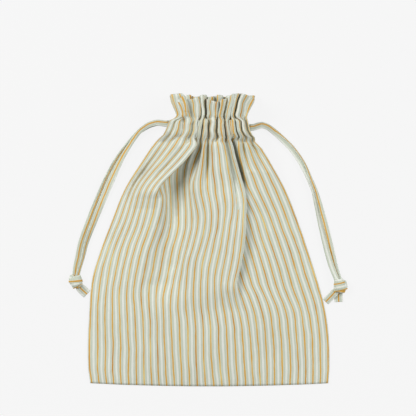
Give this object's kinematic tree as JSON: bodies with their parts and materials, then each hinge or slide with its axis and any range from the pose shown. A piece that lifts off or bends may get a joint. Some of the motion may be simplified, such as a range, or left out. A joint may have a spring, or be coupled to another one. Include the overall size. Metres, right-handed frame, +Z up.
{
  "type": "cotton drawstring bag",
  "caption": "Small striped cotton bag, gathered at the neck by drawstrings of its own cloth that end in knots, lying on its back.",
  "frame": {"origin": "on the face that the bag rests on, under the middle of the bag", "axes": "+X across the bag, +Y from its bottom edge towards its mouth, +Z up from the surface it lies on"},
  "size_m": [0.2793, 0.2912, 0.0348],
  "materials": {
    "striped_cotton": "plain-woven cotton with narrow stripes, matt",
    "cotton_tape": "folded and sewn tape of the same striped cotton, matt"
  },
  "bodies": {
    "root": {"front_panel": "striped_cotton", "back_panel": "striped_cotton", "left_cord_run": "cotton_tape", "left_cord_front_leg": "cotton_tape", "left_cord_back_leg": "cotton_tape", "left_knot": "cotton_tape", "left_cord_tail": "cotton_tape", "right_cord_run": "cotton_tape", "right_cord_front_leg": "cotton_tape", "right_cord_back_leg": "cotton_tape", "right_knot": "cotton_tape", "right_cord_tail_1": "cotton_tape", "right_cord_tail_2": "cotton_tape"}
  },
  "joints": []
}
